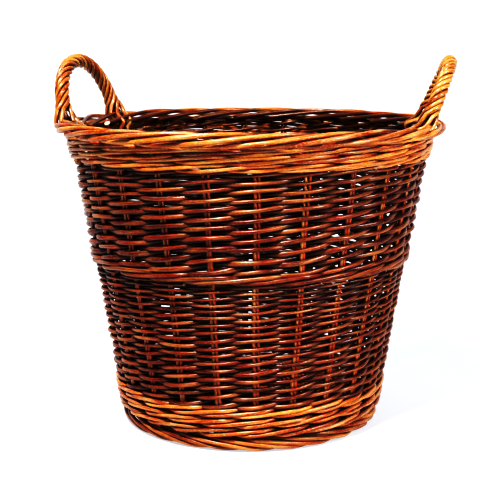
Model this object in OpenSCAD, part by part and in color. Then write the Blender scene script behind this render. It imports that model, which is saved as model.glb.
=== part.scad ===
// Round wicker log basket with two roped bow handles, woven on a pierced willow base.
// Millimetres. +Z is up and the floor is z = 0. The handles stand over +X and -X, both
// turned a few degrees round the rim toward +Y.

/* [Basket] */
// Height of the rim, at the top of the rolled border
rim_height = 395; // [393:1:397]
// Outside radius of the rolled border
rim_radius = 250; // [248:1:254]
// Outside radius of the foot border on the floor
foot_radius = 162; // [160:1:164]
// Lean of the wall from upright, in degrees
wall_lean = 9.9; // [9.8:0.05:10]

/* [Stakes] */
// Number of upright stakes, each with a bye-stake beside it
stake_count = 24; // [24:1:24]
// Diameter of a stake and of a bye-stake
stake_d = 4.8; // [4.4:0.1:5]
// Distance between the middles of a stake and its bye-stake
pair_spacing = 5; // [5:0.1:5.4]

/* [Woven bands] */
// Height of the foot border
foot_border_h = 14; // [12:1:14]
// Height where the upset waling ends and the lower siding starts
upset_top = 58; // [56:1:62]
// Height where the lower siding ends and the single middle wale starts
mid_wale_z = 217; // [214:1:220]
// Thickness of the middle wale, one round of waling
mid_wale_h = 12; // [11:1:13]
// Height where the upper siding ends and the top waling starts
top_wale_z = 352; // [350:1:354]
// Height where the top waling ends and the border starts
border_z = 380; // [379:1:382]
// Rod diameter in the upset waling
upset_rod_d = 6.5; // [6:0.1:7]
// Rod diameter in the lower siding
lower_rod_d = 6; // [5.8:0.1:6.4]
// Rod diameter in the upper siding
upper_rod_d = 5.6; // [5.4:0.1:5.8]

/* [Base] */
// Number of sticks each way in the crossed base
base_sticks = 3; // [3:1:3]
// Diameter of a base stick
base_stick_d = 10; // [9:0.5:10]
// Diameter of the rods woven round the base sticks
base_rod_d = 5; // [4.5:0.1:5]

/* [Handles] */
// Diameter of the bow rod inside a handle
bow_d = 7.2; // [7:0.1:7.4]
// Half the span of a handle, at the middle of its rope
bow_half_span = 75; // [73:1:76]
// Straight rise of the bow from the border to the start of its arch
bow_rise = 12; // [11.5:0.5:14]
// Outward lean of a handle, in degrees
bow_lean = 16; // [12:1:20]
// Turn of each handle round the rim toward +Y, in degrees
handle_turn = 5.5; // [5.5:0.1:6.5]
// Number of rods roped round each bow
rope_strands = 6; // [6:1:6]
// Diameter of a roping rod
strand_d = 5.7; // [5.4:0.1:5.7]
// Length along the bow of one turn of the roping
rope_pitch = 68; // [66:1:72]

/* [Hidden] */
$fn = 64;
STAKES = [for (i = [1 : stake_count]) str("stake_", i < 10 ? "0" : "", i)];
STRANDS = [for (side = ["left", "right"], i = [1 : rope_strands]) str(side, "_rope_strand_", i)];

// Direction of each handle's middle, round the rim from +X
LEFT = 180 - handle_turn;
RIGHT = handle_turn;
WILLOW_BROWN = "#7a3412";
WILLOW_GOLD = "#c9762a";
WILLOW_BUFF = "#b5551d";
WILLOW_PALE = "#d9973f";

// The stakes' middles lie on a cone: its radius at height z
stake_foot_r = foot_radius + 2;
function wall_r(z) = stake_foot_r + z * tan(wall_lean);
stake_angle = 360 / stake_count;

// The base: sticks lie at base_z, between an upper and a lower layer of weaving
base_z = foot_border_h + base_rod_d + base_stick_d / 2;
base_weave_r = 157;
base_eye_r = 24;
stick_pitch = base_stick_d + 1;
slath_half = 26;
stick_tip_r = 154;
stick_fan = 30;
slot_h = base_stick_d / 2;
slot_w = base_stick_d - 1;

// Stakes run in between the layers of the base, bend up at its edge and end in the border
stake_root_r = 132;
stake_top = border_z + 8;
bye_stake_foot = base_z + 10;
bye_stake_top = border_z - 6;

// Waling stands further out of the wall than the siding does
wale_out = 14;
wale_in = 12.5;
mid_wale_out = 11.5;
upset_rounds = 4;
lower_rounds = 15;
upper_rounds = 12;
top_rounds = 4;

// The rolled border's section: two fat rolls side by side on a flat-bottomed bed
border_roll_r = 7.5;
border_inner_r = rim_radius - 25;

// The foot border's section
foot_roll_r = foot_border_h / 2;
foot_border_w = 20;

// Handle: its feet stand in the border, just outside the stakes' cone
bow_out = 5;
bow_foot_z = rim_height - 5;
bow_foot_r = wall_r(bow_foot_z) + bow_out;
bow_foot_angle = asin(bow_half_span / bow_foot_r);
bow_foot_x = bow_foot_r * cos(bow_foot_angle);
bow_leg_z = top_wale_z + 2;
bow_knuckle_d = bow_d + 0.8;
rope_gap = 0.3;
rope_r = (bow_d + strand_d) / 2 + rope_gap;
rope_start = 11;
rope_sides = 8;
rope_rings = 60;

// A round rod lying level from point a to point b, both in the plane z = 0
module level_rod(a, b, d) {
    span = b - a;
    translate([a.x, a.y, 0])
        rotate([0, 90, atan2(span.y, span.x)])
            cylinder(h = norm(span), d = d);
}

// A round rod up the wall, between two heights, shifted sideways from the stake line
module wall_rod(angle, shift, z0, z1, d, out = 0) {
    rotate([0, 0, angle])
        translate([wall_r(z0) + out, shift, z0])
            rotate([0, wall_lean, 0])
                cylinder(h = (z1 - z0) / cos(wall_lean), d = d);
}

// One stake: its root in the base, the bend at the base's edge and its run up the wall
module stake(index) {
    angle = index * stake_angle;
    shift = -pair_spacing / 2;
    color(WILLOW_BUFF) {
        wall_rod(angle, shift, base_z, stake_top, stake_d);
        rotate([0, 0, angle])
            translate([0, 0, base_z]) {
                level_rod([stake_root_r, shift], [wall_r(base_z), shift], stake_d);
                translate([wall_r(base_z), shift, 0]) sphere(d = stake_d);
            }
    }
}

module bye_stake(index) {
    color(WILLOW_BUFF)
        wall_rod(index * stake_angle, pair_spacing / 2, bye_stake_foot, bye_stake_top, stake_d);
}

module bye_stakes() {
    for (i = [0 : stake_count - 1]) bye_stake(i);
}

// The space that all the stakes and bye-stakes fill in the weave
module stake_space() {
    for (i = [0 : stake_count - 1]) {
        stake(i);
        bye_stake(i);
    }
}

// Section of a woven band: a core that follows the cone, and one roll for each round
// on its outer and its inner side. out and in are measured from the stake line.
module band_section(z0, z1, rounds, out, in) {
    roll_r = (z1 - z0) / rounds / 2;
    polygon([
        [wall_r(z0) - in + roll_r, z0],
        [wall_r(z0) + out - roll_r, z0],
        [wall_r(z1) + out - roll_r, z1],
        [wall_r(z1) - in + roll_r, z1]
    ]);
    for (i = [0 : rounds - 1]) {
        z = z0 + (2 * i + 1) * roll_r;
        translate([wall_r(z) + out - roll_r, z]) circle(r = roll_r);
        translate([wall_r(z) - in + roll_r, z]) circle(r = roll_r);
    }
}

module woven_band(z0, z1, rounds, out, in) {
    difference() {
        rotate_extrude() band_section(z0, z1, rounds, out, in);
        stake_space();
    }
}

// Outer face of siding, measured from the stake line
function siding_half(rod_d) = stake_d / 2 + rod_d;

module upset_wale() {
    color(WILLOW_GOLD)
        woven_band(base_z - 6, upset_top, upset_rounds,
            siding_half(upset_rod_d), siding_half(upset_rod_d));
}

module lower_siding() {
    color(WILLOW_BROWN)
        woven_band(upset_top, mid_wale_z, lower_rounds,
            siding_half(lower_rod_d), siding_half(lower_rod_d));
}

module mid_wale() {
    color(WILLOW_BROWN)
        woven_band(mid_wale_z, mid_wale_z + mid_wale_h, 1, mid_wale_out, mid_wale_out);
}

module upper_siding() {
    color(WILLOW_BROWN)
        woven_band(mid_wale_z + mid_wale_h, top_wale_z, upper_rounds,
            siding_half(upper_rod_d), siding_half(upper_rod_d));
}

module top_wale() {
    color(WILLOW_GOLD)
        difference() {
            woven_band(top_wale_z, border_z, top_rounds, wale_out, wale_in);
            bow_legs();
        }
}

module rolled_border() {
    outer_roll = rim_radius - border_roll_r;
    inner_roll = border_inner_r + border_roll_r;
    color(WILLOW_GOLD)
        difference() {
            rotate_extrude() {
                translate([border_inner_r, border_z])
                    square([outer_roll - border_inner_r, border_roll_r]);
                translate([inner_roll, border_z])
                    square([outer_roll - inner_roll, 2 * border_roll_r - 1]);
                for (r = [inner_roll, outer_roll])
                    translate([r, border_z + border_roll_r]) circle(r = border_roll_r);
            }
            stake_space();
            bow_legs();
        }
}

module foot_border() {
    outer_roll = foot_radius - foot_roll_r;
    inner_roll = foot_radius - foot_border_w + foot_roll_r;
    color(WILLOW_GOLD)
        rotate_extrude() {
            translate([inner_roll, 0]) square([outer_roll - inner_roll, foot_border_h]);
            for (r = [inner_roll, outer_roll])
                translate([r, foot_roll_r]) circle(r = foot_roll_r);
        }
}

// One base stick along X: a middle part, and arms that fan out to the spokes' places
module base_stick(index) {
    row = index - (base_sticks - 1) / 2;
    y = row * stick_pitch;
    level_rod([-slath_half, y], [slath_half, y], base_stick_d);
    for (side = [-1, 1]) {
        bend = [side * slath_half, y];
        tip = stick_tip_r * [side * cos(row * stick_fan), sin(row * stick_fan)];
        translate([bend.x, bend.y, 0]) sphere(d = base_stick_d);
        level_rod(bend, tip, base_stick_d);
    }
}

// The slits through which the other sticks pass
module stick_slots() {
    for (i = [0 : base_sticks - 1])
        translate([(i - (base_sticks - 1) / 2) * stick_pitch, 0, 0])
            cube([slot_w, 2 * slath_half, slot_h], center = true);
}

module slath_place() {
    translate([0, 0, base_z])
        rotate([0, 0, stake_angle / 2])
            children();
}

module pierced_base_sticks() {
    color(WILLOW_PALE)
        slath_place()
            for (i = [0 : base_sticks - 1])
                difference() {
                    base_stick(i);
                    stick_slots();
                }
}

// The sticks across: shaved flat where they pass through the slits
module through_base_sticks() {
    color(WILLOW_PALE)
        slath_place() {
            rotate([0, 0, 90])
                for (i = [0 : base_sticks - 1])
                    difference() {
                        base_stick(i);
                        cube([2 * slath_half, 2 * slath_half, 2 * base_stick_d], center = true);
                    }
            stick_slots();
        }
}

// Two layers of rounds, above and below the sticks
module base_weave() {
    rounds = floor((base_weave_r - base_eye_r) / base_rod_d);
    inner = base_weave_r - rounds * base_rod_d;
    color(WILLOW_BROWN)
        for (side = [-1, 1])
            translate([0, 0, base_z + side * (base_stick_d + base_rod_d) / 2])
                rotate_extrude() {
                    translate([inner + base_rod_d / 2, -base_rod_d / 4])
                        square([(rounds - 1) * base_rod_d, base_rod_d / 2]);
                    for (i = [0 : rounds - 1])
                        translate([inner + (i + 0.5) * base_rod_d, 0]) circle(d = base_rod_d);
                }
}

// Places a handle's own frame: x outward, y along the rim, z up the leaning bow
module handle_place(side) {
    rotate([0, 0, side])
        translate([bow_foot_x, 0, bow_foot_z])
            rotate([0, bow_lean, 0])
                children();
}

// The two legs of one bow below the rim, down through the waling
module bow_leg_pair(side) {
    for (foot = [-1, 1])
        wall_rod(side + foot * bow_foot_angle, 0, bow_leg_z, bow_foot_z, bow_d, bow_out);
}

module bow_arch(side) {
    handle_place(side) {
        for (foot = [-1, 1])
            translate([0, foot * bow_half_span, 0]) {
                sphere(d = bow_knuckle_d);
                cylinder(h = bow_rise, d = bow_d);
            }
        translate([0, 0, bow_rise])
            rotate([90, 0, 90])
                rotate_extrude(angle = 180)
                    translate([bow_half_span, 0]) circle(d = bow_d);
    }
}

// The space that the bows fill in the weave
module bow_legs() {
    for (side = [LEFT, RIGHT]) {
        bow_leg_pair(side);
        handle_place(side)
            for (foot = [-1, 1])
                translate([0, foot * bow_half_span, 0]) {
                    sphere(d = bow_knuckle_d);
                    cylinder(h = bow_rise, d = bow_d);
                }
    }
}

module handle_bow(side) {
    color(WILLOW_PALE) {
        bow_leg_pair(side);
        bow_arch(side);
    }
}

// The rope's middle line at distance t along it, from the leg at +y over to the leg at -y.
// Each value is [y, z, angle]: the place in the bow's plane and the direction outward.
arch_length = PI * bow_half_span;
leg_length = bow_rise - rope_start;
rope_length = arch_length + 2 * leg_length;
function rope_line(t) =
    t < leg_length ? [bow_half_span, rope_start + t, 0]
    : t > leg_length + arch_length ? [-bow_half_span, rope_start + rope_length - t, 180]
    : let (turn = (t - leg_length) / bow_half_span * 180 / PI)
        [bow_half_span * cos(turn), bow_rise + bow_half_span * sin(turn), turn];

// One ring of a strand at distance t: the strand's middle circles the rope's middle line
function strand_ring(t, start) =
    let (
        line = rope_line(t),
        outward = [0, cos(line[2]), sin(line[2])],
        along = [0, -sin(line[2]), cos(line[2])],
        across = [1, 0, 0],
        turn = start - 360 * t / rope_pitch,
        radial = cos(turn) * outward + sin(turn) * across,
        sideways = -sin(turn) * outward + cos(turn) * across,
        heading = along - 2 * PI * rope_r / rope_pitch * sideways,
        flank = cross(heading / norm(heading), radial),
        middle = [0, line[0], line[1]] + rope_r * radial
    )
    [for (i = [0 : rope_sides - 1])
        let (a = 360 * i / rope_sides)
            middle + strand_d / 2 * (cos(a) * radial + sin(a) * flank)];

module rope_strand(side, index) {
    rings = [for (j = [0 : rope_rings])
        strand_ring(rope_length * j / rope_rings, 360 * index / rope_strands)];
    points = [for (ring = rings) for (p = ring) p];
    walls = [for (j = [0 : rope_rings - 1], i = [0 : rope_sides - 1])
        let (a = j * rope_sides + i, b = j * rope_sides + (i + 1) % rope_sides)
            each [[a, b, b + rope_sides], [a, b + rope_sides, a + rope_sides]]];
    first_cap = [for (i = [rope_sides - 1 : -1 : 0]) i];
    last_cap = [for (i = [0 : rope_sides - 1]) rope_rings * rope_sides + i];
    color(WILLOW_PALE)
        handle_place(side)
            polyhedron(points = points, faces = concat([first_cap], walls, [last_cap]));
}

foot_border();
pierced_base_sticks();
through_base_sticks();
base_weave();
for (i = [0 : stake_count - 1]) {
    stake(i);
}
bye_stakes();
upset_wale();
lower_siding();
mid_wale();
upper_siding();
top_wale();
rolled_border();
handle_bow(LEFT);  // left_handle_bow
handle_bow(RIGHT);  // right_handle_bow
for (i = [0 : rope_strands - 1]) {
    rope_strand(LEFT, i);
    rope_strand(RIGHT, i);
}
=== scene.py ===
import math
import bpy
import numpy as np
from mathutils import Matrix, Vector


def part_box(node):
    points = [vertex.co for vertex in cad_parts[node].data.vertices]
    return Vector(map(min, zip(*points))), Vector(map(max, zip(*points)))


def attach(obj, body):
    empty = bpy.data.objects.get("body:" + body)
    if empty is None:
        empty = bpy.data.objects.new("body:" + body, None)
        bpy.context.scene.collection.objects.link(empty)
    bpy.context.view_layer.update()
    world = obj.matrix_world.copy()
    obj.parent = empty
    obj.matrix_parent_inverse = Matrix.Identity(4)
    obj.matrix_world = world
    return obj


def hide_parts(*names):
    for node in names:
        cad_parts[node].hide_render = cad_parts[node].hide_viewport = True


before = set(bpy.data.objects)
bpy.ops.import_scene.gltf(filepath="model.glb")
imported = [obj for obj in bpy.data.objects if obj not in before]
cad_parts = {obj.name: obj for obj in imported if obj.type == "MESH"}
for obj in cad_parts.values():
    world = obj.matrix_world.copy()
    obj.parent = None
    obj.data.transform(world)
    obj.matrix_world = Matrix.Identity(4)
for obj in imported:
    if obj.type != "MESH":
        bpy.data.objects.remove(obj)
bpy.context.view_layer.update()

# Everything down to the floor is worked out in millimetres and scaled when a mesh is made.
# Places on the basket are given as u, which counts stakes round it from +X, out, which is the
# distance out from the cone on which the stakes stand, and z.
MM = 0.001
TURN = 2 * math.pi
rng = np.random.default_rng(41)


# ---------------------------------------------------------------- places from the CAD
def box_mm(node):
    """Lowest and highest corner of a CAD node, in millimetres."""
    low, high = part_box(node)
    return np.array(low) / MM, np.array(high) / MM


STAKES = 24
STEP = TURN / STAKES
STAKE_R = 2.4
# From the middle of a stake to the middle of its bye-stake.
PAIR = 4.3
# The stakes' cone meets the floor this far outside the CAD's foot border.
WALL_PAST_FOOT = 2

foot_low, foot_high = box_mm("foot_border")
stake_low, stake_high = box_mm("stake_01")
upset_low, upset_high = box_mm("upset_wale")
lower_low, lower_high = box_mm("lower_siding")
mid_low, mid_high = box_mm("mid_wale")
upper_low, upper_high = box_mm("upper_siding")
top_low, top_high = box_mm("top_wale")
border_low, border_high = box_mm("rolled_border")
weave_low, weave_high = box_mm("base_weave")

wall_foot_r = foot_high[0] + WALL_PAST_FOOT
wall_slope = (stake_high[0] - STAKE_R - wall_foot_r) / stake_high[2]
base_z = (weave_low[2] + weave_high[2]) / 2
rim_z = border_high[2]
border_z = border_low[2]


def wall_r(z):
    """Radius of the stakes' cone at height z."""
    return wall_foot_r + wall_slope * z


def on_wall(u, out, z):
    """Points at stake number u, that far out from the stakes' cone, at height z."""
    r = wall_r(z) + out
    return np.stack([r * np.cos(STEP * u), r * np.sin(STEP * u), z + 0 * u], axis=1)


# ---------------------------------------------------------------- lines
def smooth(t):
    """An even step from 0 to 1 while t goes from 0 to 1."""
    t = np.clip(t, 0, 1)
    return t * t * (3 - 2 * t)


def wander(u, size, waves):
    """A smooth random line along u: a few sines of random phase."""
    line = np.zeros(len(u))
    for wave in waves:
        line += np.sin(TURN * u / wave + rng.uniform(0, TURN))
    return size * line / len(waves)


def kinks(u, size):
    """A random line with a bend at each whole u, as rods have where they meet the stakes."""
    knots = np.arange(math.floor(u[0]), math.ceil(u[-1]) + 1)
    return np.interp(u, knots, rng.normal(0, size, len(knots)))


def curve(controls, count):
    """A smooth line through control points, with count points between each two."""
    c = np.array(controls, float)
    c = np.vstack([2 * c[0] - c[1], c, 2 * c[-1] - c[-2]])
    t = np.linspace(0, 1, count, endpoint=False)[:, None]
    parts = []
    for a, b, d, e in zip(c, c[1:], c[2:], c[3:]):
        parts.append(0.5 * (2 * b + (d - a) * t + (2 * a - 5 * b + 4 * d - e) * t ** 2
                            + (3 * b - a - 3 * d + e) * t ** 3))
    parts.append(c[-2:-1])
    return np.vstack(parts)


# ---------------------------------------------------------------- rods
# A direction that no rod starts along, to set out the first ring of its section.
ASKEW = (0.13, 0.21, 0.97)
# A rod's flank gets painted shade where it faces less than this out of the weave.
GROOVE_SHADE_FACING = 0.60
# Each rod takes its streaks from another stretch of the noise, within this length.
GRAIN_STRETCH = 4000
# Painted shade toward the inside of the wall: it starts this far out from the cone, and is full
# this much further in.
INNER_SHADE_FROM = 5.0
INNER_SHADE_OVER = 6.5


class Bundle:
    """Gathers many round rods into one mesh, with what the materials need on each point.
    in_wall asks for painted shade toward the inside of the wall, and lift moves that painted
    shade inward."""

    def __init__(self, sides=9, in_wall=True, lift=0.0):
        self.sides = sides
        self.in_wall = in_wall
        self.lift = lift
        self.points = []
        self.faces = []
        self.grain = []
        self.tone = []
        self.cut = []
        self.groove_shade = []
        self.count = 0

    def add(self, points, faces, grain, tone, cut, groove_shade):
        self.points.append(points)
        self.faces.extend((faces + self.count).tolist())
        self.grain.append(grain)
        self.tone.append(np.full(len(points), tone))
        self.cut.append(np.full(len(points), cut))
        self.groove_shade.append(groove_shade)
        self.count += len(points)

    def rod(self, path, radius, slant=(0.8, 0.8), away=None):
        """Sweeps a round section along path. slant is how far each end is cut aslant, and away
        is the way out of the woven surface at each place, for the painted shade in its grooves."""
        n = len(path)
        sides = self.sides
        tone = rng.uniform(0, 1)
        if away is None:
            away = path * (1, 1, 0)
        radius = np.broadcast_to(np.asarray(radius, float), (n,))
        along = np.gradient(path, axis=0)
        along /= np.linalg.norm(along, axis=1)[:, None]
        flank = np.cross(along[0], ASKEW)
        flanks = np.empty((n, 3))
        for i in range(n):
            flank = flank - along[i] * flank.dot(along[i])
            flank = flank / np.linalg.norm(flank)
            flanks[i] = flank
        ups = np.cross(along, flanks)
        a = np.arange(sides) * TURN / sides
        section = (np.cos(a)[None, :, None] * flanks[:, None, :]
                   + np.sin(a)[None, :, None] * ups[:, None, :])
        rings = path[:, None, :] + section * radius[:, None, None]
        away = away / np.linalg.norm(away, axis=1)[:, None]
        # Painted shade: the flanks that face along the weave, toward the neighbouring rods, are
        # darkened in the material.
        facing = np.abs((section * away[:, None, :]).sum(axis=2))
        groove_shade = smooth((GROOVE_SHADE_FACING - facing) / GROOVE_SHADE_FACING)
        reach = np.cos(a - rng.uniform(0, TURN))
        rings[0] -= along[0] * (slant[0] * radius[0] * reach)[:, None]
        rings[-1] += along[-1] * (slant[1] * radius[-1] * reach)[:, None]
        length = np.concatenate([[0], np.cumsum(np.linalg.norm(np.diff(path, axis=0), axis=1))])
        length = length + rng.uniform(0, GRAIN_STRETCH)
        grain = np.empty((n, sides, 3))
        grain[:, :, 0] = length[:, None]
        grain[:, :, 1] = radius[:, None] * np.cos(a)[None, :]
        grain[:, :, 2] = radius[:, None] * np.sin(a)[None, :]
        i = np.arange(n - 1)[:, None] * sides
        j = np.arange(sides)[None, :]
        k = (j + 1) % sides
        faces = np.stack([i + j, i + sides + j, i + sides + k, i + k], axis=2).reshape(-1, 4)
        self.add(rings.reshape(-1, 3), faces, grain.reshape(-1, 3), tone, 0.0, groove_shade.ravel())
        for end, order in ((0, 1), (-1, -1)):
            middle = rings[end].mean(axis=0)
            disc = np.vstack([rings[end], middle])
            grains = np.vstack([grain[end], [length[end], 0, 0]])
            j = np.arange(sides)
            fan = np.stack([j, (j + 1) % sides, np.full(sides, sides)], axis=1)[:, ::order]
            self.add(disc, fan, grains, tone, 1.0, np.zeros(sides + 1))

    def painted_inner_shade(self):
        """How far each point lies in toward the inside of the wall, from 0 to 1, as the strength
        of the painted shade there.
        """
        if not self.in_wall:
            return np.zeros(self.count)
        points = np.vstack(self.points)
        out = np.hypot(points[:, 0], points[:, 1]) - wall_r(points[:, 2]) + self.lift
        return smooth((INNER_SHADE_FROM - out) / INNER_SHADE_OVER)

    def make(self, name, material, nodes):
        mesh = bpy.data.meshes.new(name)
        mesh.from_pydata(np.vstack(self.points) * MM, [], self.faces)
        mesh.shade_smooth()
        grain = mesh.attributes.new("grain", "FLOAT_VECTOR", "POINT")
        grain.data.foreach_set("vector", np.vstack(self.grain).astype(np.float32).ravel())
        values = {
            "tone": np.concatenate(self.tone),
            "cut": np.concatenate(self.cut),
            # These two are painted shade: toward the inside of the wall, and in the grooves
            # between rods.
            "deep": self.painted_inner_shade(),
            "groove_shade": np.concatenate(self.groove_shade),
        }
        for word, numbers in values.items():
            attribute = mesh.attributes.new(word, "FLOAT", "POINT")
            attribute.data.foreach_set("value", numbers.astype(np.float32))
        mesh.materials.append(material)
        piece = bpy.data.objects.new(name, mesh)
        bpy.context.collection.objects.link(piece)
        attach(piece, "root")
        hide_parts(*nodes)
        return piece


# ---------------------------------------------------------------- materials
# The colour inputs and the colour output of Blender's Mix node.
MIX_FROM = 6
MIX_TO = 7
MIX_RESULT = 2
# How strong the flecks and the relief of the bark are, and how deep the relief is.
SPOTS = 0.5
BUMP = 0.5
BUMP_DEPTH = 0.5 * MM
# A thin varnish.
COAT = 0.4
COAT_ROUGH = 0.26


def darker(colour, factor):
    return tuple(factor * v for v in colour)


def willow(name, dark, middle, other, light, pith, rough=0.42):
    """Willow rod: a colour for each rod, streaks along it, flecks and cut ends, and painted
    shade in its grooves and toward the inside of the wall."""
    material = bpy.data.materials.new(name)
    material.use_nodes = True
    nodes = material.node_tree.nodes
    links = material.node_tree.links
    shader = nodes["Principled BSDF"]

    def attribute(word, socket):
        node = nodes.new("ShaderNodeAttribute")
        node.attribute_name = word
        return node.outputs[socket]

    def scaled(vector, amount):
        node = nodes.new("ShaderNodeVectorMath")
        node.operation = "MULTIPLY"
        links.new(vector, node.inputs[0])
        node.inputs[1].default_value = amount
        return node.outputs[0]

    def noise(vector, detail):
        node = nodes.new("ShaderNodeTexNoise")
        node.inputs["Scale"].default_value = 1.0
        node.inputs["Detail"].default_value = detail
        node.inputs["Roughness"].default_value = 0.6
        links.new(vector, node.inputs["Vector"])
        return node.outputs["Fac"]

    def ranged(value, from_low, from_high, to_low, to_high):
        node = nodes.new("ShaderNodeMapRange")
        node.inputs["From Min"].default_value = from_low
        node.inputs["From Max"].default_value = from_high
        node.inputs["To Min"].default_value = to_low
        node.inputs["To Max"].default_value = to_high
        links.new(value, node.inputs["Value"])
        return node.outputs["Result"]

    def mixed(fac, a, b):
        node = nodes.new("ShaderNodeMix")
        node.data_type = "RGBA"
        node.blend_type = "MIX"
        links.new(fac, node.inputs["Factor"])
        for value, key in ((a, MIX_FROM), (b, MIX_TO)):
            if isinstance(value, tuple):
                node.inputs[key].default_value = (*value, 1)
            else:
                links.new(value, node.inputs[key])
        return node.outputs[MIX_RESULT]

    grain = attribute("grain", "Vector")
    tone = attribute("tone", "Fac")
    cut = attribute("cut", "Fac")
    # Painted shade: toward the inside of the wall, and in the grooves between rods.
    deep = attribute("deep", "Fac")
    groove_shade = attribute("groove_shade", "Fac")
    # grain runs along the rod in x and across it in y and z, in millimetres, so a small first
    # factor draws the pattern out along the rod.
    streak = noise(scaled(grain, (0.035, 0.9, 0.9)), 4)
    blotch = noise(scaled(grain, (0.022, 0.12, 0.12)), 2)
    fleck = noise(scaled(grain, (0.35, 1.1, 1.1)), 2)
    # The rod's own colour, from its tone.
    body = mixed(ranged(tone, 0.0, 0.45, 0.25, 1.0), dark, middle)
    body = mixed(ranged(tone, 0.55, 1.0, 0.0, 1.0), body, other)
    # Light patches, dark streaks, and light and dark flecks. The light colour is the tone of the
    # rods' highlights, so the light patches and light flecks are bark mottling and partly painted
    # highlight.
    colour = mixed(ranged(blotch, 0.40, 0.70, 0.0, 0.50), body, light)
    colour = mixed(ranged(streak, 0.36, 0.56, 0.65, 0.0), colour, dark)
    colour = mixed(ranged(fleck, 0.58, 0.70, 0.0, SPOTS), colour, light)
    colour = mixed(ranged(fleck, 0.30, 0.42, SPOTS, 0.0), colour, darker(dark, 0.4))
    # Painted shade in the grooves between rods, the cut ends, and painted shade toward the inside
    # of the wall.
    colour = mixed(ranged(groove_shade, 0.0, 1.0, 0.0, 0.85), colour, darker(dark, 0.30))
    colour = mixed(cut, colour, pith)
    colour = mixed(ranged(deep, 0.0, 1.0, 0.0, 0.84), colour, darker(dark, 0.24))
    links.new(colour, shader.inputs["Base Color"])
    links.new(ranged(streak, 0.3, 0.7, rough - 0.08, rough + 0.12), shader.inputs["Roughness"])
    shader.inputs["Coat Weight"].default_value = COAT
    shader.inputs["Coat Roughness"].default_value = COAT_ROUGH
    relief = nodes.new("ShaderNodeBump")
    relief.inputs["Strength"].default_value = BUMP
    relief.inputs["Distance"].default_value = BUMP_DEPTH
    links.new(noise(scaled(grain, (0.12, 1.4, 1.4)), 5), relief.inputs["Height"])
    links.new(relief.outputs["Normal"], shader.inputs["Normal"])
    return material


golden = willow("golden_willow", dark=(0.20, 0.018, 0.0015), middle=(0.54, 0.155, 0.017),
                other=(0.70, 0.30, 0.060), light=(0.95, 0.68, 0.36), pith=(0.92, 0.66, 0.36),
                rough=0.34)
# The foot border is golden too, but duller than the rest in the photograph.
shaded = willow("shaded_willow", dark=(0.16, 0.014, 0.0012), middle=(0.42, 0.105, 0.011),
                other=(0.55, 0.20, 0.036), light=(0.84, 0.50, 0.22), pith=(0.90, 0.62, 0.32),
                rough=0.36)
brown = willow("brown_willow", dark=(0.055, 0.004, 0.0015), middle=(0.24, 0.034, 0.006),
               other=(0.29, 0.098, 0.028), light=(0.60, 0.32, 0.15), pith=(0.75, 0.48, 0.26),
               rough=0.34)
orange = willow("stake_willow", dark=(0.34, 0.040, 0.004), middle=(0.60, 0.125, 0.012),
                other=(0.66, 0.17, 0.020), light=(0.85, 0.34, 0.07), pith=(0.90, 0.62, 0.30),
                rough=0.34)
handle = willow("handle_willow", dark=(0.24, 0.050, 0.006), middle=(0.43, 0.165, 0.030),
                other=(0.52, 0.23, 0.052), light=(0.84, 0.60, 0.30), pith=(0.55, 0.32, 0.12),
                rough=0.30)
stick = willow("base_stick_willow", dark=(0.30, 0.09, 0.02), middle=(0.50, 0.20, 0.05),
               other=(0.54, 0.24, 0.07), light=(0.70, 0.40, 0.16), pith=(0.80, 0.55, 0.28))


# ---------------------------------------------------------------- siding: French rand
# A rod's radius as a part of its layer's height, how much thinner it is where it is pressed
# against a stake, and its points from one stake to the next.
RAND_FILL = 0.56
RAND_PRESSED = 0.20
RAND_POINTS = 9


def rand_heights(z0, z1, first, last):
    """Height of each layer's middle, when layers get thinner from first to last."""
    layers = round(2 * (z1 - z0) / (first + last))

    def height(m):
        return z0 + first / 2 + first * m + (last - first) * m ** 2 / (2 * layers)

    def thickness(m):
        return first + (last - first) * np.clip(m / layers, 0, 1)

    return layers, height, thickness


def rand_weave(name, z0, z1, first, last, pieces, node):
    """Rods woven in front of one stake and behind the next, each begun one stake further on.
    m counts the stakes that a rod has passed, and with them the layers it has climbed."""
    layers, height, thickness = rand_heights(z0, z1, first, last)
    per_piece = STAKES // pieces
    for p in range(pieces):
        bundle = Bundle()
        for j in range(p * per_piece, (p + 1) * per_piece):
            start_m = -1.0 - rng.uniform(0.1, 0.35)
            end_m = layers - 1 + rng.uniform(0.0, 0.8)
            m = np.linspace(start_m, end_m, round((end_m - start_m) * RAND_POINTS))
            u = j + m
            t = thickness(m)
            radius = RAND_FILL * t * rng.uniform(0.86, 1.10)
            radius = radius * (1 + wander(m, 0.10, (0.7, 1.9, 4.3)))
            radius = radius * (1 - RAND_PRESSED * np.maximum(0, np.cos(math.pi * m)))
            z = height(m) + wander(m, 0.4, (3.7, 7.9)) + kinks(m, 0.14) * t
            z = z + 0.7 * np.sin(u * 2.1 + 0.4 * m)
            swing = (STAKE_R + radius) * (0.95 + kinks(m, 0.12))
            out = swing * np.cos(math.pi * m + wander(m, 0.15, (2.1, 3.3)))
            bundle.rod(on_wall(u, out, z), radius)
        bundle.make(f"{name}_{p + 1}", brown, [node])


# ---------------------------------------------------------------- waling
# A waling rod lies in front up to this many stakes from the middle of its stroke, then crosses
# to the back over this many, and goes up and down by this part of its thickness.
WALE_FRONT = 0.62
WALE_CROSS = 0.86
WALE_RISE = 0.72
# Where the first rod of a round starts, how far its ends overlap, and the step between its
# points, all in stakes.
WALE_FROM = 6
WALE_BEHIND = 0.9
WALE_LAP = 0.8
WALE_STEP = 0.1


def wale_offset(u, j, radius, stand):
    """Where rod j of a three-rod wale is at stake number u: out from the cone, and up."""
    q = np.mod(u - j + 1.0, 3) - 1.5
    size = np.abs(q)
    side = 1 - 2 * smooth((size - WALE_FRONT) / WALE_CROSS)
    rising = np.sin(q * math.pi / 2)
    behind = np.sign(q) * np.cos(math.pi * (size - 1))
    up = np.where(size <= 1, rising, behind)
    return side * (STAKE_R + radius) * stand, up * WALE_RISE * 2 * radius


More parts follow.
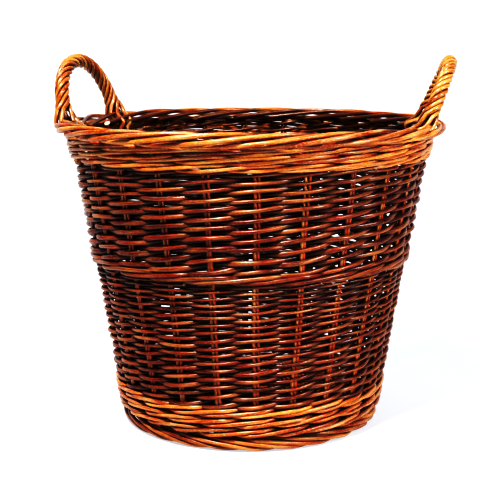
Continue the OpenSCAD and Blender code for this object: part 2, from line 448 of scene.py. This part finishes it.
def wale(name, z0, z1, rounds, radius, material, node, stand=1.3, bulge=0.0,
         phases=(0, 0, 0)):
    """Rounds of three-rod waling between two heights. Each round has its own three rods.
    stand is how far they stand off the stakes, bulge how far the middle round bulges out, and
    phases the stake on which each round starts."""
    round_h = (z1 - z0) / rounds
    for i in range(rounds):
        bundle = Bundle(10)
        belly = bulge * np.cos(math.pi * (i + 0.5) / rounds - math.pi / 2)
        for j in range(3):
            start = WALE_FROM + j + phases[i] + rng.uniform(-0.15, 0.15) + WALE_BEHIND
            u = np.arange(start, start + STAKES + WALE_LAP, WALE_STEP)
            t = (u - start) / STAKES
            r = radius * (1.06 - 0.14 * t) * (1 + wander(u, 0.06, (0.9, 2.7, 5.1)))
            out, up = wale_offset(u + wander(u, 0.12, (2.3, 4.1)), j + phases[i], r, stand)
            z = z0 + round_h * (i + 0.5) + up + wander(u, 1.0, (2.1, 4.3, 9)) + kinks(u, 0.35)
            bundle.rod(on_wall(u, out + belly, z), r)
        bundle.make(f"{name}_{i + 1}", material, [node])


# ---------------------------------------------------------------- stakes and the rolled border
# The line of a stake's end through the border: stakes along the rim, out, and height above the
# border's lower edge.
BORDER_LINE = (
    (0.00, 0, -1), (0.10, 0, 1.8), (0.35, -2, 3.4), (0.7, -5, 3.8), (1.0, -6, 3.4),
    (1.3, -3, 2.6), (1.6, 4, 1.6), (2.0, 10.0, 2.0), (2.5, 15.0, 3.8), (3.0, 18.6, 7.2),
    (3.5, 18.4, 11.2), (4.0, 13.0, 14.0), (4.4, 6.0, 14.8), (4.8, -1.5, 13.8),
    (5.3, -7.5, 11.0), (5.8, -10.5, 7.6), (6.3, -12.5, 4.2),
)
# The middle of the border that the rods roll round: out, and above its lower edge.
BORDER_MIDDLE = (2, 6)
STAKE_FOOT_R = 2.8
STAKE_TOP_R = 2.2
BORDER_THICKER = 0.7
# Heights of the stakes' points in the wall: first above the base, last below the border.
WALL_POINTS = 9
WALL_FIRST = 8
WALL_LAST = 12


def ring_away(u, out, up):
    """Directions away from the middle of a border, given out and up from it at stake number u,
    for the painted shade in the rods' grooves.
    """
    flat = np.where(np.abs(up) < 0.01, 1.0, out)
    return np.stack([flat * np.cos(STEP * u), flat * np.sin(STEP * u), up], axis=1)


def stakes_and_border(pieces):
    """Each stake and its border end are one rod: up the wall, over to the right and in."""
    per_piece = STAKES // pieces
    for p in range(pieces):
        bundle = Bundle(10, lift=1.7)
        names = []
        for k in range(p * per_piece, (p + 1) * per_piece):
            shift = -PAIR / 2
            lean = wander(np.linspace(0, 1, WALL_POINTS), 1.0, (0.7, 1.6))
            # Out through the base weave, round the bend at its edge, and up the wall.
            path = []
            for r in (stake_low[0], stake_low[0] + 14, wall_r(base_z) - 9):
                path.append((shift / r / STEP, r - wall_r(base_z), base_z))
            path.append((shift / 170 / STEP, -2.5, base_z + 1.5))
            heights = np.linspace(base_z + WALL_FIRST, border_z - WALL_LAST, WALL_POINTS)
            for i, z in enumerate(heights):
                path.append(((shift + lean[i]) / wall_r(z) / STEP, 0, z))
            jitter = rng.uniform(-0.08, 0.08)
            higher = rng.uniform(-0.6, 0.6)
            for s, out, z in BORDER_LINE:
                path.append((s + jitter * min(1, s), out, border_z + z + higher * (s > 1.2)))
            c = curve(path, 8)
            u = k + c[:, 0]
            r = np.interp(c[:, 2], [base_z, border_z], [STAKE_FOOT_R, STAKE_TOP_R])
            r = r * (1 + wander(u, 0.03, (0.9, 2.3)))
            r = r + BORDER_THICKER * smooth((c[:, 0] - 0.3) / 1.2)
            up = c[:, 2] - border_z - BORDER_MIDDLE[1]
            up = np.where(c[:, 2] > border_z - 4, up, 0)
            away = ring_away(u, c[:, 1] - BORDER_MIDDLE[0], up)
            r = r * rng.uniform(0.95, 1.05)
            bundle.rod(on_wall(u, c[:, 1], c[:, 2]), r, (0.3, 1.3), away)
            names.append(f"stake_{k + 1:02d}")
        names.append("rolled_border")
        bundle.make(f"stakes_and_border_{p + 1}", golden, names)


def bye_stakes():
    """The second rod of each pair, from the base weave up to the border."""
    bundle = Bundle(9, lift=2.5)
    count = 24
    for k in range(STAKES):
        z = np.linspace(base_z + 10, border_z - 4, count)
        side = PAIR / 2 + wander(z, 1.2, (160, 310))
        radius = np.linspace(2.5, 1.9, count) * rng.uniform(0.9, 1.1)
        bundle.rod(on_wall(k + side / wall_r(z) / STEP, 0, z), radius)
    bundle.make("bye_stakes", orange, ["bye_stakes"])


# ---------------------------------------------------------------- foot border
# The line of a foot border rod: stakes along the foot, out, and height above the floor.
FOOT_LINE = (
    (-0.12, 0, 52), (-0.10, 0, 34), (-0.08, 0, 22), (0.02, -2, 15.5), (0.30, -3, 16.4),
    (0.7, -2, 15.4), (1.0, 1.0, 14.6), (1.4, 3.4, 13.2), (1.8, 4.4, 11.2), (2.2, 4.2, 8.8),
    (2.7, 3.6, 6.0), (3.1, 1.8, 3.8), (3.5, -4, 3.1), (3.9, -13, 3.1), (4.1, -18, 3.3),
)
# The middle of the foot border that the rods roll round: out, and above the floor.
FOOT_MIDDLE = (-10, 7)
FOOT_ROD_R = 2.85


def foot_border(pieces):
    """Short rods pushed up beside the stakes and rolled round under the foot."""
    per_piece = STAKES // pieces
    z0 = foot_low[2]
    for p in range(pieces):
        bundle = Bundle(9, False)
        for k in range(p * per_piece, (p + 1) * per_piece):
            jitter = rng.uniform(-0.1, 0.1)
            path = []
            for s, out, z in FOOT_LINE:
                path.append((s + jitter * min(1, abs(s)), out, z0 + z))
            c = curve(path, 7)
            u = k + c[:, 0]
            away = ring_away(u, c[:, 1] - FOOT_MIDDLE[0], c[:, 2] - z0 - FOOT_MIDDLE[1])
            radius = FOOT_ROD_R * rng.uniform(0.92, 1.06)
            bundle.rod(on_wall(u, c[:, 1], c[:, 2]), radius, (0.5, 1.6), away)
        bundle.make(f"foot_border_{p + 1}", shaded, ["foot_border"])


# ---------------------------------------------------------------- base
STICK_R = 5.0
# Half the length over which the six base sticks cross, and the angle by which the outer ones
# fan out beyond it.
SLATH_HALF = 26
STICK_FAN = math.radians(30)
SPOKES = 12
WEAVER_R = 2.1
# Where the pairing starts, and how far it moves out in a round, as a part of a rod's radius.
WEAVE_FROM = 31
WEAVE_GROWTH = 3.5


def base_sticks(name, turn):
    """Three sticks one way through the middle, fanned out to six spokes."""
    bundle = Bundle(12, False)
    reach = weave_high[0] - 3
    for row in (-1, 0, 1):
        y = row * (2 * STICK_R + 1)
        path = [(-reach * math.cos(row * STICK_FAN), reach * math.sin(row * STICK_FAN))]
        path.append((-SLATH_HALF, y))
        path.append((SLATH_HALF, y))
        path.append((reach * math.cos(row * STICK_FAN), reach * math.sin(row * STICK_FAN)))
        flat = []
        for a, b in zip(path, path[1:]):
            for t in np.linspace(0, 1, 10, endpoint=False):
                flat.append((a[0] + (b[0] - a[0]) * t, a[1] + (b[1] - a[1]) * t))
        flat.append(path[-1])
        flat = np.array(flat)
        a = turn + STEP / 2
        x = flat[:, 0] * math.cos(a) - flat[:, 1] * math.sin(a)
        y = flat[:, 0] * math.sin(a) + flat[:, 1] * math.cos(a)
        r = STICK_R * (1 + wander(flat[:, 0], 0.03, (40, 90)))
        upright = np.tile((0.0, 0.0, 1.0), (len(x), 1))
        bundle.rod(np.stack([x, y, np.full(len(x), base_z)], axis=1), r, (0.2, 0.2), upright)
    bundle.make(name, stick, [name])


def base_weave():
    """Pairing: two rods twisted round the spokes, over one and under the next."""
    growth = WEAVE_GROWTH * WEAVER_R
    rounds = (weave_high[0] + WEAVER_R - WEAVE_FROM) / growth
    u = np.arange(0, SPOKES * rounds, 1 / 8)
    for w in (0, 1):
        bundle = Bundle(7, False)
        phase = math.pi * (u + w)
        r = WEAVE_FROM + growth * u / SPOKES + WEAVER_R * np.sin(phase) * 0.9
        z = base_z + (STICK_R + WEAVER_R) * np.cos(phase) * 0.97
        a = STEP / 2 + TURN * u / SPOKES
        path = np.stack([r * np.cos(a), r * np.sin(a), z], axis=1)
        upright = np.tile((0.0, 0.0, 1.0), (len(path), 1))
        bundle.rod(path, WEAVER_R * (1 + wander(u, 0.06, (7, 31, 90))), away=upright)
        bundle.make(f"base_weave_{w + 1}", brown, ["base_weave"])


# ---------------------------------------------------------------- handles
BOW_R = 3.6
STRAND_R = 2.95
ROPE_R = BOW_R + STRAND_R + 0.1
STRANDS = 6
HALF_SPAN = 75
# Each handle stands this much further round the rim toward +Y.
HANDLE_TURN = math.radians(5.5)
ANGLES = {"left": math.pi - HANDLE_TURN, "right": HANDLE_TURN}
LEANS = {"left": math.radians(14.5), "right": math.radians(21)}
ROPE_PITCHES = {"left": 68, "right": 54}
# How far out from the cone the bows' feet stand, and how much lower than in the CAD their tops
# are. The feet are this far below the rim, and the bows go on this far below the feet.
BOW_OUTS = {"left": 8.0, "right": 5.0}
BOW_LOWER = 3
BOW_FOOT = 5
BOW_LEG = 32
# The roping splays near its feet, from 34 mm above them to 2 mm below. It goes into the border
# from 6 mm above its feet, over 22 mm: rods on the inner side come in over the rim by 20 mm and
# turn back by 9 mm under it, and rods on the outer side go 9 mm in.
ROPE_LEG = 30
SPLAY_FROM = 34
SPLAY_OVER = 36
DIVE_FROM = 6
DIVE_OVER = 22
OVER_RIM = 20
BACK_FROM = -8
BACK_OVER = 12
INTO_BORDER = 9


def handle_frame(side, bow):
    """Foot and directions of a handle: outward, along the rim and up the leaning bow, and the
    length of the bow's straight legs."""
    top = box_mm(bow)[1][2]
    angle = ANGLES[side]
    lean = LEANS[side]
    foot_z = rim_z - BOW_FOOT
    foot_r = math.sqrt((wall_r(foot_z) + BOW_OUTS[side]) ** 2 - HALF_SPAN ** 2)
    rise = (top - BOW_LOWER - BOW_R - foot_z) / math.cos(lean) - HALF_SPAN
    radial = np.array([math.cos(angle), math.sin(angle), 0])
    rim = np.array([-math.sin(angle), math.cos(angle), 0])
    above = np.array([0, 0, 1])
    out = math.cos(lean) * radial - math.sin(lean) * above
    up = math.sin(lean) * radial + math.cos(lean) * above
    return foot_r * radial + foot_z * above, out, rim, up, rise


def bow_line(t, rise):
    """Place along the rim and up, and turn, at distance t along a bow from its foot at +rim."""
    arch = math.pi * HALF_SPAN
    turn = np.clip((t - rise) / HALF_SPAN, 0, math.pi)
    y = HALF_SPAN * np.cos(turn)
    z = HALF_SPAN * np.sin(turn) + np.minimum(t, rise) + np.minimum(rise + arch - t, 0)
    return y, z, turn


def handle_bow(side, name):
    """The bow that the roping goes round, with its legs down through the border."""
    origin, out, rim, up, rise = handle_frame(side, name)
    bundle = Bundle(12, False)
    total = math.pi * HALF_SPAN + 2 * rise
    t = np.linspace(-BOW_LEG, total + BOW_LEG, 90)
    y, z, turn = bow_line(t, rise)
    path = origin + y[:, None] * rim + z[:, None] * up
    bundle.rod(path, BOW_R, (2.0, 2.0), np.tile(out, (len(path), 1)))
    bundle.make(name, handle, [name])


def rope_strand(side, index, name, bow):
    """One rod of the roping: a helix round the bow whose ends splay and go into the border."""
    origin, out, rim, up, rise = handle_frame(side, bow)
    bundle = Bundle(10, False)
    total = math.pi * HALF_SPAN + 2 * rise
    t = np.linspace(-ROPE_LEG, total + ROPE_LEG, 180)
    y, z, turn = bow_line(t, rise)
    # The last 18 mm at each foot twist less, so that they run down straighter.
    twisted = np.clip(t, 18, total - 18)
    twisted = twisted + 0.3 * (t - twisted)
    a = TURN * index / STRANDS - TURN * twisted / ROPE_PITCHES[side]
    a = a + wander(t, 0.10, (60, 110))
    near = smooth((SPLAY_FROM - np.minimum(t, total - t)) / SPLAY_OVER)
    deep = smooth((DIVE_FROM - z) / DIVE_OVER)
    inner = np.where(t < total / 2, np.sin(a[10]) < -0.2, np.sin(a[-10]) < -0.2)
    sideways = ROPE_R * np.cos(a) * (1 + rng.uniform(1.2, 2.4) * near)
    outward = ROPE_R * np.sin(a) * (1 + rng.uniform(0.3, 0.8) * near) * (1 - 0.8 * deep)
    over_rim = OVER_RIM * deep - INTO_BORDER * smooth((BACK_FROM - z) / BACK_OVER)
    outward = outward - np.where(inner, over_rim, INTO_BORDER * deep)
    away = np.cos(turn)[:, None] * rim + np.sin(turn)[:, None] * up
    path = origin + y[:, None] * rim + z[:, None] * up
    around = sideways[:, None] * away + outward[:, None] * out
    path = path + around
    # Neighbours are thick at opposite ends.
    ends = (1.04, 0.90) if index % 2 else (0.90, 1.04)
    taper = np.linspace(*ends, len(t))
    bundle.rod(path, STRAND_R * taper * rng.uniform(0.95, 1.05), away=around)
    bundle.make(name, handle, [name])


# ---------------------------------------------------------------- the basket
foot_border(2)
base_sticks("pierced_base_sticks", 0)
base_sticks("through_base_sticks", math.pi / 2)
base_weave()
wale("upset_wale", upset_low[2] + 2, upset_high[2], 3, 2.65, golden,
     "upset_wale", phases=(0, 2, 1))
rand_weave("lower_siding", lower_low[2], lower_high[2], 5.9, 3.6, 8, "lower_siding")
wale("mid_wale", mid_low[2], mid_high[2], 1, 2.9, brown, "mid_wale", stand=1.15)
rand_weave("upper_siding", upper_low[2], upper_high[2], 7.0, 4.6, 6, "upper_siding")
wale("top_wale", top_low[2], top_high[2], 3, 2.45, golden, "top_wale",
     bulge=2.0, phases=(1, 2, 0))
bye_stakes()
stakes_and_border(6)
for side in ("left", "right"):
    bow = f"{side}_handle_bow"
    handle_bow(side, bow)
    for index in range(STRANDS):
        rope_strand(side, index, f"{side}_rope_strand_{index + 1}", bow)


# ---------------------------------------------------------------- floor, light and camera
# The stage is in metres. The camera's direction, distance, height, pitch and lens were fitted
# to the photograph.
AZIMUTH = math.radians(12.86)
CAMERA_FAR = 1.4925
CAMERA_UP = 0.4991
CAMERA_PITCH = math.radians(10.53)
LENS = 81.55
FLOOR_COLOUR = (0.36, 0.37, 0.38)
FLOOR_ROUGH = 0.9
FLOOR_GLOW = (0.94, 0.96, 1.0)
FLOOR_GLOW_STRENGTH = 0.67
# The floor lies this far below the basket's foot, so that the two don't flicker.
FLOOR_DROP = 0.0004
BEND_STEPS = 12


def beside_camera(right, toward, up):
    """A place given from the camera's side: to its right, toward it, and up."""
    x = right * math.cos(AZIMUTH) + toward * math.sin(AZIMUTH)
    y = right * math.sin(AZIMUTH) - toward * math.cos(AZIMUTH)
    return (x, y, up)


def area_light(name, place, aim, size, power, colour):
    data = bpy.data.lights.new(name, "AREA")
    data.shape = "DISK"
    data.size = size
    data.energy = power
    data.color = colour
    light = bpy.data.objects.new(name, data)
    bpy.context.collection.objects.link(light)
    light.location = place
    direction = np.array(aim) - np.array(place)
    light.rotation_euler = Vector(direction).to_track_quat("-Z", "Y").to_euler()


def sweep(name, width, front, back, height, bend):
    """A white floor that curves up behind the basket into a wall."""
    line = [(front, 0.0)]
    for i in range(BEND_STEPS + 1):
        a = math.pi / 2 * i / BEND_STEPS
        line.append((-back - bend * math.sin(a), bend - bend * math.cos(a)))
    line.append((-back - bend, height))
    points = []
    faces = []
    for toward, up in line:
        for right in (-width, width):
            points.append(beside_camera(right, toward, up - FLOOR_DROP))
    for i in range(len(line) - 1):
        faces.append((2 * i, 2 * i + 1, 2 * i + 3, 2 * i + 2))
    mesh = bpy.data.meshes.new(name)
    mesh.from_pydata(points, [], faces)
    mesh.shade_smooth()
    material = bpy.data.materials.new(name)
    material.use_nodes = True
    shader = material.node_tree.nodes["Principled BSDF"]
    shader.inputs["Base Color"].default_value = (*FLOOR_COLOUR, 1)
    shader.inputs["Roughness"].default_value = FLOOR_ROUGH
    shader.inputs["Emission Color"].default_value = (*FLOOR_GLOW, 1)
    shader.inputs["Emission Strength"].default_value = FLOOR_GLOW_STRENGTH
    mesh.materials.append(material)
    backdrop = bpy.data.objects.new(name, mesh)
    bpy.context.collection.objects.link(backdrop)


sweep("floor", width=6.0, front=6.0, back=1.4, height=4.0, bend=1.0)
area_light("key", beside_camera(-0.7, 1.6, 2.8), (0, 0, 0.2), 0.35, 185, (1.0, 0.98, 0.95))
area_light("fill", beside_camera(2.0, 1.6, 1.6), (0, 0, 0.2), 0.4, 85, (0.96, 0.98, 1.0))
area_light("top", beside_camera(0.0, -0.5, 2.8), (0, 0, 0.1), 1.2, 6, (1.0, 1.0, 1.0))

world = bpy.data.worlds.new("studio")
world.use_nodes = True
world.node_tree.nodes["Background"].inputs["Color"].default_value = (0.95, 0.97, 1.0, 1)
world.node_tree.nodes["Background"].inputs["Strength"].default_value = 0.06
bpy.context.scene.world = world
bpy.context.scene.view_settings.view_transform = "Standard"
bpy.context.scene.view_settings.look = "None"
bpy.context.scene.view_settings.gamma = 1.0

# The photograph has hard contrast: a toe that sinks the gaps between the rods.
CONTRAST = ((0.026, 0.0015), (0.0625, 0.0045), (0.147, 0.014), (0.23, 0.037), (0.347, 0.125),
            (0.51, 0.328), (0.642, 0.527), (0.819, 0.76))
# The curve for all three colours comes after those for red, green and blue.
ALL_COLOURS = 3
bpy.context.scene.view_settings.use_curve_mapping = True
contrast = bpy.context.scene.view_settings.curve_mapping
for x, y in CONTRAST:
    contrast.curves[ALL_COLOURS].points.new(x, y)
contrast.update()

camera_data = bpy.data.cameras.new("camera")
camera_data.sensor_width = 36
camera_data.lens = LENS
camera_data.clip_start = 0.05
camera_data.clip_end = 60
camera = bpy.data.objects.new("camera", camera_data)
bpy.context.collection.objects.link(camera)
camera.location = beside_camera(0, CAMERA_FAR, CAMERA_UP)
camera.rotation_euler = (math.pi / 2 - CAMERA_PITCH, 0, AZIMUTH)
bpy.context.scene.camera = camera
